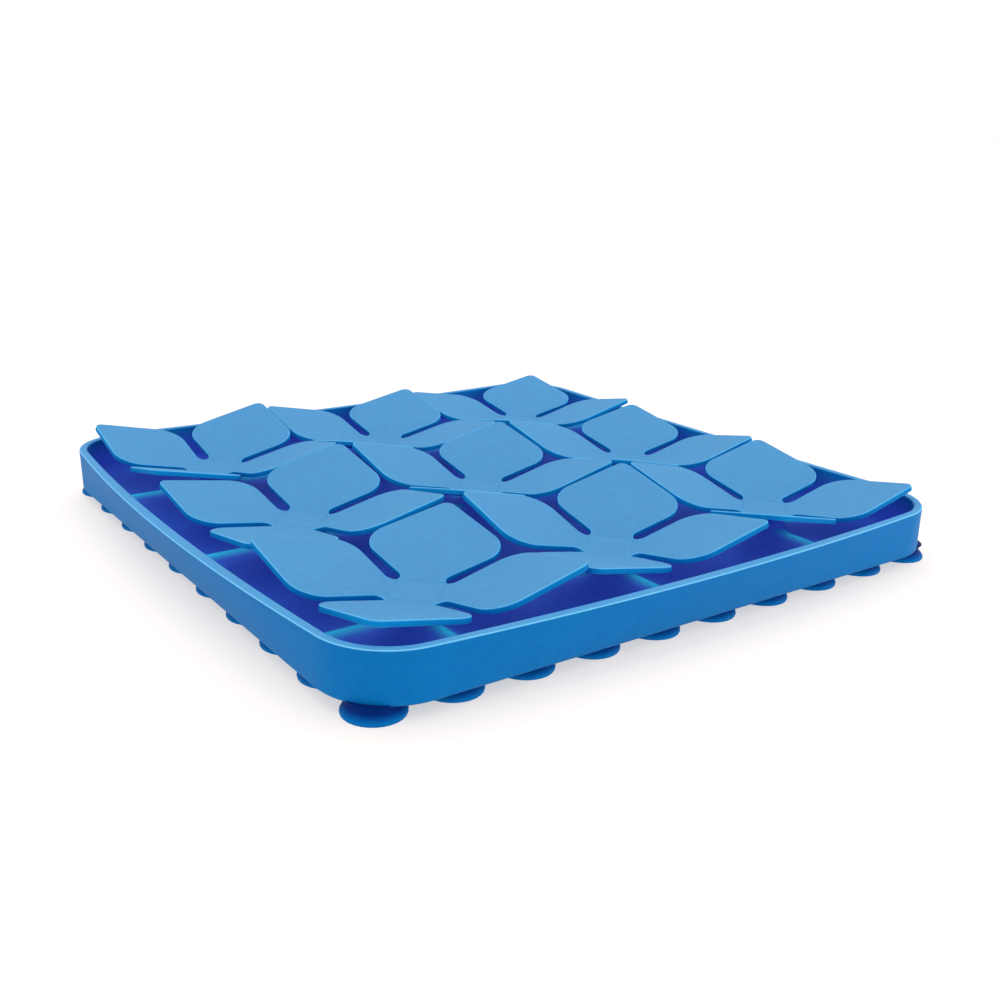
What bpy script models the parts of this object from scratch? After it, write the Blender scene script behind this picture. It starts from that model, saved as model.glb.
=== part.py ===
"""Square silicone lick mat: a walled tray on suction cups, with nine raised petal flowers.

The tray is one moulding: floor, wall, low ribs, pads and a grid of suction cups.
Each flower is one moulding: a stem, a flat hub and four petals folded up from it.
Frame: +Z up, origin at the middle of the mat's box, on the surface it stands on,
+X and +Y along the mat's sides.  Units are metres.
"""

import math
from typing import NamedTuple

import bmesh
import bpy
from mathutils import Matrix, Vector

MM = 0.001
SEAT_GAP = 0.3 * MM

# Suction cups
CUP_PITCH = 25.0 * MM
CUPS_PER_SIDE = 10
CUP_LIP_RADIUS = 9.3 * MM
CUP_LIP_WIDTH = 1.1 * MM
CUP_NECK_RADIUS = 6.8 * MM
CUP_HOLLOW_DEPTH = 3.4 * MM
CUP_SIDES = 8

# Tray
UNDERSIDE_HEIGHT = 5.0 * MM
FLOOR_THICKNESS = 1.5 * MM
RIM_HEIGHT = 21.3 * MM
EDGE_ROUND = 0.9 * MM
FOOT_ROUND = 1.4 * MM
OVERLAP = 0.5 * MM
FLOOR_TOP = UNDERSIDE_HEIGHT + FLOOR_THICKNESS

# The soft wall leans: the sides at -X and -Y bow out by a section's whole bow, and those at +X
# and +Y are straight and drawn in.  Shares of the bow, in the order +X, +Y, -X, -Y.
SIDE_BOW_SHARES = (0.0, 0.0, 1.0, 1.0)
DRAWN_IN_SHARE = 0.2
# The middle of the cups and flowers, from the middle of the leaning wall's box.
MIDDLE_OFFSET = 3.0 * MM

# Ribs and pads on the floor
RIB_WIDTH = 6.0 * MM
RIB_HEIGHT = 1.0 * MM
RIB_REACH = 120.4 * MM
RIB_SINK_ALONG_X = 0.10 * MM
RIB_SINK_ALONG_Y = 0.16 * MM
PAD_RADIUS = 9.5 * MM
PAD_HEIGHT = 1.2 * MM
PAD_TOP = FLOOR_TOP + PAD_HEIGHT

# Flowers
FLOWER_PITCH = 77.5 * MM
HUB_TOP = 14.5 * MM
SHEET_THICKNESS = 2.0 * MM
SLIT_START = 11.4 * MM
SLIT_HALF_WIDTH = 2.5 * MM
PETAL_REACH = 38.7 * MM
SIDE_CORNER_RADIUS = 9.5 * MM
TIP_CORNER_RADIUS = 3.5 * MM
STEM_FOOT_RADIUS = 8.0 * MM
STEM_TOP_RADIUS = 6.5 * MM
STEM_SIDES = 12


class Section(NamedTuple):
    """One closed outline of the tray's wall: a rounded square with bowed sides."""

    height: float
    half_width: float
    corner_radius: float
    bow: float


# From the underside, up the outside, over the rim and down the inside to the floor.
WALL_SECTIONS = (
    Section(UNDERSIDE_HEIGHT, 122.6 * MM, 22.0 * MM, 0.0 * MM),
    Section(UNDERSIDE_HEIGHT + FOOT_ROUND, 124.0 * MM, 23.4 * MM, 0.0 * MM),
    Section(RIM_HEIGHT - EDGE_ROUND, 125.0 * MM, 24.2 * MM, 5.0 * MM),
    Section(RIM_HEIGHT, 124.2 * MM, 23.4 * MM, 5.0 * MM),
    Section(RIM_HEIGHT, 122.2 * MM, 20.6 * MM, 4.2 * MM),
    Section(FLOOR_TOP + FOOT_ROUND, 120.6 * MM, 20.0 * MM, 0.2 * MM),
    Section(FLOOR_TOP, 119.2 * MM, 18.6 * MM, 0.0 * MM),
)
SIDE_STEPS = 6
CORNER_STEPS = 4


class Pose(NamedTuple):
    """How one flower stands, in degrees: its turn about its stem and each petal's fold-up angle.

    The petals are named by the corner that they point to.
    """

    column: int
    row: int
    turn: float
    plus_plus: float
    minus_plus: float
    minus_minus: float
    plus_minus: float


# The soft flowers don't all stand alike.  Columns run along X, rows along Y.
POSES = (
    Pose(-1, -1, 1.0, 15.0, 16.5, 16.5, 17.5),
    Pose(0, -1, -1.0, 19.0, 19.0, 14.5, 17.0),
    Pose(1, -1, 1.0, 17.0, 18.5, 18.0, 16.5),
    Pose(-1, 0, 1.0, 18.5, 13.5, 12.5, 16.5),
    Pose(0, 0, 0.5, 17.5, 18.5, 18.5, 18.0),
    Pose(1, 0, 1.0, 15.5, 17.5, 18.0, 17.0),
    Pose(-1, 1, -0.5, 19.5, 18.0, 17.0, 17.5),
    Pose(0, 1, 0.5, 16.5, 16.5, 17.5, 16.0),
    Pose(1, 1, 1.5, 15.0, 14.0, 16.5, 17.5),
)
CORNER_STEPS_SIDE = 4
CORNER_STEPS_TIP = 2


def clear_scene():
    """Remove every object that is in the file."""
    for thing in list(bpy.data.objects):
        bpy.data.objects.remove(thing, do_unlink=True)


def new_collection(name):
    """Make a collection under the scene's own."""
    collection = bpy.data.collections.new(name)
    bpy.context.scene.collection.children.link(collection)
    return collection


def silicone(name, colour):
    """Return a matt silicone material of one colour."""
    material = bpy.data.materials.new(name)
    material.use_nodes = True
    shader = material.node_tree.nodes["Principled BSDF"]
    shader.inputs["Base Color"].default_value = (*colour, 1.0)
    shader.inputs["Roughness"].default_value = 0.45
    shader.inputs["Metallic"].default_value = 0.0
    return material


def object_from_bmesh(name, mesh_data, collection, material=None):
    """Turn a bmesh into a linked object and free the bmesh."""
    mesh = bpy.data.meshes.new(name)
    mesh_data.to_mesh(mesh)
    mesh_data.free()
    thing = bpy.data.objects.new(name, mesh)
    collection.objects.link(thing)
    if material is not None:
        mesh.materials.append(material)
    return thing


def as_cutter(thing):
    """Mark an object as a Boolean operand that isn't a piece of its own."""
    thing.hide_render = True
    thing.display_type = "WIRE"
    return thing


def repeat(thing, count, step):
    """Array an object along a fixed offset without merging the copies."""
    array = thing.modifiers.new("repeat", "ARRAY")
    array.use_relative_offset = False
    array.use_constant_offset = True
    array.constant_offset_displace = step
    array.count = count


def join(thing, operand):
    """Add an exact Boolean union with another object."""
    union = thing.modifiers.new(operand.name, "BOOLEAN")
    union.operation = "UNION"
    union.solver = "EXACT"
    union.object = operand


def arc(centre, radius, start_degrees, sweep_degrees, steps):
    """Return the points of an arc, both ends included."""
    angles = (math.radians(start_degrees + sweep_degrees * i / steps) for i in range(steps + 1))
    return [centre + radius * Vector((math.cos(a), math.sin(a))) for a in angles]


def wall_outline(section):
    """Return a section's closed outline: bowed sides between round corners.

    The half of the outline towards +X and the half towards +Y are drawn in a little.
    """
    flat_half = section.half_width - section.corner_radius
    centre = Vector((flat_half, flat_half))
    corner = arc(centre, section.corner_radius, 0, 90, CORNER_STEPS)
    drawn_in = 1 - DRAWN_IN_SHARE * section.bow / section.half_width
    outline = []
    for quarter, share in enumerate(SIDE_BOW_SHARES):
        turn = Matrix.Rotation(math.radians(90 * quarter), 2)
        side = []
        for i in range(SIDE_STEPS):
            along = flat_half * (2 * i / SIDE_STEPS - 1)
            bulge = share * section.bow * (1 - (along / flat_half) ** 2)
            side.append(Vector((section.half_width + bulge, along)))
        for point in side + corner[:-1]:
            turned = turn @ point
            outline.append(Vector(value * (drawn_in if value > 0 else 1.0) for value in turned))
    return outline


def build_wall_and_floor(collection, material):
    """Loft the tray's shell through its sections and close it with floor and underside."""
    shell = bmesh.new()
    rings = []
    for section in WALL_SECTIONS:
        outline = wall_outline(section)
        rings.append([shell.verts.new((p.x, p.y, section.height)) for p in outline])
    count = len(rings[0])
    for below, above in zip(rings, rings[1:]):
        for i in range(count):
            j = (i + 1) % count
            shell.faces.new((below[i], below[j], above[j], above[i]))
    shell.faces.new(list(reversed(rings[0])))
    shell.faces.new(rings[-1])
    return object_from_bmesh("tray", shell, collection, material)


def build_cup_grid(collection):
    """Turn one suction cup from its profile and repeat it over the whole underside."""
    profile = (
        (0.0, UNDERSIDE_HEIGHT + OVERLAP),
        (CUP_NECK_RADIUS, UNDERSIDE_HEIGHT + OVERLAP),
        (CUP_LIP_RADIUS, 0.0),
        (CUP_LIP_RADIUS - CUP_LIP_WIDTH, 0.0),
        (0.0, CUP_HOLLOW_DEPTH),
    )
    line = bmesh.new()
    points = [line.verts.new((radius, 0.0, height)) for radius, height in profile]
    for upper, lower in zip(points, points[1:]):
        line.edges.new((upper, lower))
    cups = as_cutter(object_from_bmesh("cup_grid", line, collection))
    first = -(CUPS_PER_SIDE - 1) / 2 * CUP_PITCH
    cups.location = (first, first, 0.0)
    screw = cups.modifiers.new("turn", "SCREW")
    screw.steps = CUP_SIDES
    screw.render_steps = CUP_SIDES
    screw.use_merge_vertices = True
    screw.merge_threshold = 0.00005
    repeat(cups, CUPS_PER_SIDE, (CUP_PITCH, 0.0, 0.0))
    repeat(cups, CUPS_PER_SIDE, (0.0, CUP_PITCH, 0.0))
    return cups


def build_ribs(name, along_x, sink, collection):
    """Make the three soft ribs of one direction, a little more than half sunk in the floor.

    The two directions sink by different amounts, so that no faces coincide where they cross.
    """
    rib = bmesh.new()
    bmesh.ops.create_cone(
        rib,
        cap_ends=True,
        segments=8,
        radius1=RIB_WIDTH / 2,
        radius2=RIB_WIDTH / 2,
        depth=2 * RIB_REACH,
    )
    flatten = Matrix.Diagonal((1.0, 1.0, 2 * RIB_HEIGHT / RIB_WIDTH, 1.0))
    lie_down = Matrix.Rotation(math.radians(90), 4, "Y" if along_x else "X")
    bmesh.ops.transform(rib, matrix=flatten @ lie_down, verts=rib.verts)
    bmesh.ops.recalc_face_normals(rib, faces=rib.faces)
    ribs = as_cutter(object_from_bmesh(name, rib, collection))
    across = Vector((0.0, FLOWER_PITCH, 0.0)) if along_x else Vector((FLOWER_PITCH, 0.0, 0.0))
    ribs.location = Vector((0.0, 0.0, FLOOR_TOP - sink)) - across
    repeat(ribs, 3, across)
    return ribs


def build_pads(collection):
    """Make the nine round pads that the flowers' stems stand on."""
    pad = bmesh.new()
    bmesh.ops.create_cone(
        pad,
        cap_ends=True,
        segments=STEM_SIDES,
        radius1=PAD_RADIUS,
        radius2=PAD_RADIUS,
        depth=PAD_HEIGHT + OVERLAP,
    )
    half_side_turn = Matrix.Rotation(math.pi / STEM_SIDES, 4, "Z")
    bmesh.ops.transform(pad, matrix=half_side_turn, verts=pad.verts)
    pads = as_cutter(object_from_bmesh("pads", pad, collection))
    pads.location = (-FLOWER_PITCH, -FLOWER_PITCH, PAD_TOP - (PAD_HEIGHT + OVERLAP) / 2)
    repeat(pads, 3, (FLOWER_PITCH, 0.0, 0.0))
    repeat(pads, 3, (0.0, FLOWER_PITCH, 0.0))
    return pads


def build_tray(collection, cutters, material):
    """Join shell, cups, ribs and pads into one moulding."""
    tray = build_wall_and_floor(collection, material)
    join(tray, build_cup_grid(cutters))
    join(tray, build_ribs("ribs_along_x", True, RIB_SINK_ALONG_X, cutters))
    join(tray, build_ribs("ribs_along_y", False, RIB_SINK_ALONG_Y, cutters))
    join(tray, build_pads(cutters))
    return tray


def petal_outline():
    """Return the flat outline of the petal towards (+X, +Y), between two slit ends."""
    half_slit, reach = SLIT_HALF_WIDTH, PETAL_REACH
    side, tip = SIDE_CORNER_RADIUS, TIP_CORNER_RADIUS
    slit_centre = SLIT_START + half_slit
    lower = arc(Vector((slit_centre, 0.0)), half_slit, 180, -90, 2)[1:]
    lower += arc(Vector((reach - side, half_slit + side)), side, -90, 90, CORNER_STEPS_SIDE)
    point = arc(Vector((reach - tip, reach - tip)), tip, 0, 90, CORNER_STEPS_TIP)
    upper = [Vector((p.y, p.x)) for p in reversed(lower)]
    return lower + point + upper


def fold_up(point, lift_degrees):
    """Turn a flat point of the (+X, +Y) petal up about the fold between its slit ends."""
    fold_point = Vector((SLIT_START / 2, SLIT_START / 2, 0.0))
    fold_axis = Vector((1.0, -1.0, 0.0)).normalized()
    turn = Matrix.Rotation(math.radians(lift_degrees), 4, fold_axis)
    flat = Vector((point.x, point.y, 0.0))
    return turn @ (flat - fold_point) + fold_point


def build_flower_sheet(name, pose, collection, material):
    """Make a flower's hub and folded petals as an open surface with Solidify."""
    sheet = bmesh.new()
    quarter_angles = [math.radians(90 * quarter) for quarter in range(4)]
    turns = [Matrix.Rotation(angle, 4, "Z") for angle in quarter_angles]
    slit_ends = [sheet.verts.new(turn @ Vector((SLIT_START, 0.0, 0.0))) for turn in turns]
    sheet.faces.new(slit_ends)
    petal_lifts = (pose.plus_plus, pose.minus_plus, pose.minus_minus, pose.plus_minus)
    for quarter, (turn, lift) in enumerate(zip(turns, petal_lifts)):
        folded = [turn @ fold_up(point, lift) for point in petal_outline()]
        rim = [sheet.verts.new(point) for point in folded]
        sheet.faces.new([slit_ends[quarter], *rim, slit_ends[(quarter + 1) % 4]])
    flower = object_from_bmesh(name, sheet, collection, material)
    thicken = flower.modifiers.new("thickness", "SOLIDIFY")
    thicken.thickness = SHEET_THICKNESS
    thicken.offset = -1.0
    thicken.use_even_offset = True
    return flower


def build_stem(name, collection):
    """Make the tapered stem that carries a flower over its pad."""
    top = HUB_TOP - SHEET_THICKNESS / 2
    bottom = PAD_TOP + SEAT_GAP
    cone = bmesh.new()
    bmesh.ops.create_cone(
        cone,
        cap_ends=True,
        segments=STEM_SIDES,
        radius1=STEM_FOOT_RADIUS,
        radius2=STEM_TOP_RADIUS,
        depth=top - bottom,
    )
    stem = as_cutter(object_from_bmesh(name, cone, collection))
    stem.location.z = (top + bottom) / 2 - HUB_TOP
    return stem


def build_flowers(collection, cutters, material):
    """Build the nine flowers, each moulded in one with its stem."""
    for pose in POSES:
        name = f"flower_x{pose.column + 2}_y{pose.row + 2}"
        flower = build_flower_sheet(name, pose, collection, material)
        flower.location = (pose.column * FLOWER_PITCH, pose.row * FLOWER_PITCH, HUB_TOP)
        flower.rotation_euler.z = math.radians(pose.turn)
        stem = build_stem(f"stem_{name}", cutters)
        stem.parent = flower
        join(flower, stem)


def main():
    """Build the whole mat."""
    clear_scene()
    mat = new_collection("lick_mat")
    cutters = new_collection("cutters")
    build_tray(mat, cutters, silicone("tray_silicone", (0.03, 0.18, 0.55)))
    build_flowers(mat, cutters, silicone("flower_silicone", (0.10, 0.35, 0.66)))
    for piece in (*mat.objects, *cutters.objects):
        if piece.parent is None:
            piece.location += Vector((MIDDLE_OFFSET, MIDDLE_OFFSET, 0.0))


main()
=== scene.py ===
"""The looks of a square silicone lick mat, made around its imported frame.

The tray, its suction cups and its petal flowers are a class each.  A class holds the sizes of its
moulding as fields, builds the meshes, and dresses them in silicone.  Geometry Nodes set out the cups,
raise the floor's ribs and pads, and fold the petals up.  Everything is in metres, +Z up.
"""

import logging
import math
from dataclasses import dataclass
from enum import Enum
from typing import Iterable, Sequence

import bmesh
import bpy
from mathutils import Matrix, Vector


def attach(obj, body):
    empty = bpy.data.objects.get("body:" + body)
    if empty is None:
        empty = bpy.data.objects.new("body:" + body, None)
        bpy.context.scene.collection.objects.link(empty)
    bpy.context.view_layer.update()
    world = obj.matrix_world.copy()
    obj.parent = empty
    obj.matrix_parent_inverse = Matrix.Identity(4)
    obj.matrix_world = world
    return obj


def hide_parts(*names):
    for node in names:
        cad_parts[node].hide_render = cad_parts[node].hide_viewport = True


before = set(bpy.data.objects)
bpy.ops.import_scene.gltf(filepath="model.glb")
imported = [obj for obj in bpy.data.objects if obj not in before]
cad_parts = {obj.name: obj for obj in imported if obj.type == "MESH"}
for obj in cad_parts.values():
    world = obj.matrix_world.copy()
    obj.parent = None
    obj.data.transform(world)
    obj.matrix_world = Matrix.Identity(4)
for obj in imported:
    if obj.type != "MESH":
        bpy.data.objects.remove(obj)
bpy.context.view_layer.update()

LOG = logging.getLogger("lick_mat")
MM = 0.001
ROOT_TWO = math.sqrt(2.0)
ROOT_BODY = "root"
# Points as close as this are one point, and grid lines are rounded to that many digits.
WELD_DISTANCE = 1e-7
LINE_DIGITS = 7
# The least angle of a fold, in radians, so that its bend has a radius.
LEAST_LIFT = 0.001
# Names of the attributes that carry painted light and shade: shade in the hollow, highlights on the ribs'
# crests and on rounded edges, and shade in the grooves along the folds.
SHADE = "deep"
EDGE_HIGHLIGHT = "edge"
CREST_HIGHLIGHT = "crest_highlight"
CREASE_SHADE = "crease_shade"
FLOOR_SHARE = "floor_share"
FLOWER_PITCH = 77.5 * MM
# The middle of the foot, flowers and cups, which the bowed wall leaves off the box's middle.
MIDDLE: tuple[float, float, float] = (3.0 * MM, 3.0 * MM, 0.0)

Socket = bpy.types.NodeSocket
Point2 = tuple[float, float]
Rows = Sequence[Sequence[bmesh.types.BMVert]]
RGB = tuple[float, float, float]
WHITE: RGB = (1.0, 1.0, 1.0)


class Slot(Enum):
    """The record's material slots."""

    TRAY = "tray_silicone"
    FLOWER = "flower_silicone"


class Quarter(Enum):
    """The four petals of a flower, by the signs of X and Y that they point to."""

    PLUS_PLUS = (1, 1)
    MINUS_PLUS = (-1, 1)
    MINUS_MINUS = (-1, -1)
    PLUS_MINUS = (1, -1)

    @property
    def input_name(self) -> str:
        """Return the name of this petal's input on the folding tree."""
        return "Lift " + "".join("+" if sign > 0 else "-" for sign in self.value)


def add_object(name: str, data: bpy.types.ID) -> bpy.types.Object:
    """Add an object to the scene.

    Args:
        name: Its name.
        data: Its mesh, light or camera.

    Returns:
        The object, at the origin.
    """
    made = bpy.data.objects.new(name, data)
    bpy.context.scene.collection.objects.link(made)
    return made


# Node trees


class NodeBoard:
    """A node tree under construction, with short calls for the nodes used most."""

    def __init__(self, tree: bpy.types.NodeTree) -> None:
        """Start on a tree.

        Args:
            tree: The tree that the nodes go in.
        """
        self.tree = tree

    def node(self, kind: str, **settings: object) -> bpy.types.Node:
        """Add a node.

        Args:
            kind: The node's type name.
            **settings: Attributes to set on it.

        Returns:
            The new node.
        """
        made = self.tree.nodes.new(kind)
        for name, value in settings.items():
            setattr(made, name, value)
        return made

    def feed(self, target: Socket, value: object) -> None:
        """Link a socket to an input, or set the input's own value.

        Args:
            target: The input.
            value: A socket, or a plain value, which is red, green and blue for a colour.
        """
        if isinstance(value, bpy.types.NodeSocket):
            self.tree.links.new(value, target)
        else:
            target.default_value = (*value, 1.0) if target.type == "RGBA" else value

    def feed_all(self, node: bpy.types.Node, inputs: dict[str, object]) -> bpy.types.Node:
        """Feed several inputs of a node.

        Args:
            node: The node.
            inputs: A socket or plain value for each named input.

        Returns:
            The node.
        """
        for name, value in inputs.items():
            self.feed(node.inputs[name], value)
        return node

    def fed(self, kind: str, inputs: dict[str, object], **settings: object) -> bpy.types.Node:
        """Add a node by its type name, with its settings, and feed its named inputs."""
        return self.feed_all(self.node(kind, **settings), inputs)

    def split(self, vector: Socket) -> Sequence[Socket]:
        """Return the sockets of a vector's three parts."""
        return self.fed("ShaderNodeSeparateXYZ", {"Vector": vector}).outputs

    def join(self, x: object, y: object, z: object) -> Socket:
        """Return the socket of a vector made from its three parts."""
        return self.fed("ShaderNodeCombineXYZ", {"X": x, "Y": y, "Z": z}).outputs[0]

    def math(self, operation: str, *values: object, clamp: bool = False) -> Socket:
        """Add a math node.

        Args:
            operation: The math node's operation.
            *values: Its inputs, sockets or numbers.
            clamp: Whether the result is held between 0 and 1.

        Returns:
            The result's socket.
        """
        made = self.node("ShaderNodeMath", operation=operation, use_clamp=clamp)
        for target, value in zip(made.inputs, values):
            self.feed(target, value)
        return made.outputs[0]

    def attribute(self, name: str) -> Socket:
        """Add a shader node that reads a number stored on the mesh.

        Args:
            name: The attribute's name.

        Returns:
            The number's socket, which gives 0 where a mesh has no such attribute.
        """
        return self.node("ShaderNodeAttribute", attribute_name=name).outputs["Fac"]

    def ramp(self, value: object, low: float, high: float) -> Socket:
        """Map a value to 0 at low and 1 at high, with soft ends.

        Args:
            value: The socket to map.
            low: The value that gives 0.
            high: The value that gives 1.

        Returns:
            The mapped value's socket.
        """
        inputs = {"Value": value, "From Min": low, "From Max": high}
        made = self.fed("ShaderNodeMapRange", inputs, interpolation_type="SMOOTHSTEP")
        return made.outputs["Result"]

    def mix_colour(self, factor: object, first: object, second: object) -> Socket:
        """Mix two colours.

        Args:
            factor: How much of the second, 0 to 1.
            first: The first colour.
            second: The second colour.

        Returns:
            The mixed colour's socket.
        """
        inputs = {"Factor": factor, "A": first, "B": second}
        made = self.fed("ShaderNodeMix", inputs, data_type="RGBA")
        return next(out for out in made.outputs if out.type == "RGBA")


class GeometryTree(NodeBoard):
    """A Geometry Nodes tree whose inputs are named for sizes of the moulding."""

    def __init__(self, name: str, sizes: Iterable[str]) -> None:
        """Make the tree's sockets.

        Args:
            name: The tree's name.
            sizes: The names of its number inputs.
        """
        super().__init__(bpy.data.node_groups.new(name, "GeometryNodeTree"))
        face = self.tree.interface
        face.new_socket("Geometry", in_out="INPUT", socket_type="NodeSocketGeometry")
        for size in sizes:
            face.new_socket(size, in_out="INPUT", socket_type="NodeSocketFloat")
        face.new_socket("Place", in_out="INPUT", socket_type="NodeSocketVector")
        face.new_socket("Material", in_out="INPUT", socket_type="NodeSocketMaterial")
        face.new_socket("Geometry", in_out="OUTPUT", socket_type="NodeSocketGeometry")
        self.inputs = self.node("NodeGroupInput").outputs
        self.out = self.node("NodeGroupOutput")

    def finish(self, geometry: Socket) -> None:
        """End the tree: put the piece in place, realise it and give it its material.

        Args:
            geometry: The geometry made so far.
        """
        placed = {"Geometry": geometry, "Translation": self.inputs["Place"]}
        geometry = self.fed("GeometryNodeTransform", placed).outputs["Geometry"]
        geometry = self.fed("GeometryNodeRealizeInstances", {"Geometry": geometry}).outputs["Geometry"]
        dressed = {"Geometry": geometry, "Material": self.inputs["Material"]}
        geometry = self.fed("GeometryNodeSetMaterial", dressed).outputs["Geometry"]
        self.feed(self.out.inputs["Geometry"], geometry)

    def apply(self, name: str, mesh: bpy.types.Mesh, values: dict[str, object]) -> bpy.types.Object:
        """Run the tree on a mesh and return the result as a plain object.

        Args:
            name: The finished piece's name.
            mesh: The mesh that goes in.
            values: A value for each named input.

        Returns:
            An object at the origin with the finished mesh and no modifier.
        """
        blank = add_object(name + "_blank", mesh)
        modifier = blank.modifiers.new(self.tree.name, "NODES")
        modifier.node_group = self.tree
        identifiers = {
            item.name: item.identifier
            for item in self.tree.interface.items_tree
            if item.item_type == "SOCKET" and item.in_out == "INPUT"
        }
        for label, value in values.items():
            modifier[identifiers[label]] = value
        blank.update_tag()
        graph = bpy.context.evaluated_depsgraph_get()
        graph.update()
        finished = bpy.data.meshes.new_from_object(blank.evaluated_get(graph))
        finished.name = name
        bpy.data.objects.remove(blank, do_unlink=True)
        return add_object(name, finished)


# Silicone


# Features of the moulded skin in a metre, and how rare and large the specks of dust are.
CLOUD_SCALE = 70.0
MOTTLE_SCALE = 330.0
SPECK_SCALE = 220.0
SPECK_SIZES = (0.03, 0.10)
SPECK_RARITY = 0.93
# How much of the mottling shifts the hue, and of the clouds the roughness.
HUE_SHARE = 0.10
ROUGHNESS_SHARE = 0.10
# How far a face looks up or down where its colour starts to change, and where it has changed: faces that
# look up are painted lighter, as lit, and faces that look down are painted in shade.
LIT_UP_RANGE = (0.30, 0.85)
SHADED_DOWN_RANGE = (0.20, 0.70)


def build_skin_group() -> bpy.types.NodeTree:
    """Build the moulded skin that every silicone surface shares.

    Its inputs are the grain's size, the cloudiness, the mottling and the amount of dust.  It puts out
    a brightness near 1 and a hue near 0.5 for the colour, a roughness shift, and a height for the bump.

    Returns:
        The shader node group.
    """
    tree = bpy.data.node_groups.new("moulded_skin", "ShaderNodeTree")
    face = tree.interface
    for name in ("Grain Scale", "Cloudiness", "Mottling", "Dust"):
        face.new_socket(name, in_out="INPUT", socket_type="NodeSocketFloat")
    for name in ("Brightness", "Hue", "Roughness Shift", "Height", "Dust Mask"):
        face.new_socket(name, in_out="OUTPUT", socket_type="NodeSocketFloat")
    board = NodeBoard(tree)
    given = board.node("NodeGroupInput").outputs
    place = board.node("ShaderNodeTexCoord").outputs["Object"]

    def noise(scale: object, **sizes: float) -> bpy.types.Node:
        """Add a noise texture over the piece."""
        named = {name.capitalize(): value for name, value in sizes.items()}
        return board.fed("ShaderNodeTexNoise", {"Vector": place, "Scale": scale, **named})

    grain = noise(given["Grain Scale"], detail=3.0, roughness=0.6)
    clouds = noise(CLOUD_SCALE, detail=4.0)
    centred = board.math("SUBTRACT", clouds.outputs["Fac"], 0.5)
    mottle = noise(MOTTLE_SCALE, detail=3.0, roughness=0.65)
    spot = board.math("SUBTRACT", mottle.outputs["Fac"], 0.5)
    tint = board.fed("ShaderNodeSeparateColor", {"Color": mottle.outputs["Color"]})
    drift = board.math("SUBTRACT", tint.outputs["Green"], 0.5)
    brightness = board.math("MULTIPLY_ADD", centred, given["Cloudiness"], 1.0)
    brightness = board.math("MULTIPLY_ADD", spot, given["Mottling"], brightness)
    hue = board.math("MULTIPLY_ADD", drift, board.math("MULTIPLY", given["Mottling"], HUE_SHARE), 0.5)

    specks = board.fed("ShaderNodeTexVoronoi", {"Vector": place, "Scale": SPECK_SCALE}, feature="F1")
    near = board.math("SUBTRACT", 1.0, board.ramp(specks.outputs["Distance"], *SPECK_SIZES))
    chosen = board.fed("ShaderNodeSeparateColor", {"Color": specks.outputs["Color"]})
    rare = board.math("GREATER_THAN", chosen.outputs["Red"], SPECK_RARITY)
    dust = board.math("MULTIPLY", board.math("MULTIPLY", near, rare), given["Dust"], clamp=True)

    results = {
        "Brightness": brightness,
        "Hue": hue,
        "Roughness Shift": board.math("MULTIPLY", centred, ROUGHNESS_SHARE),
        "Height": grain.outputs["Fac"],
        "Dust Mask": dust,
    }
    board.feed_all(board.node("NodeGroupOutput"), results)
    return tree


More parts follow.
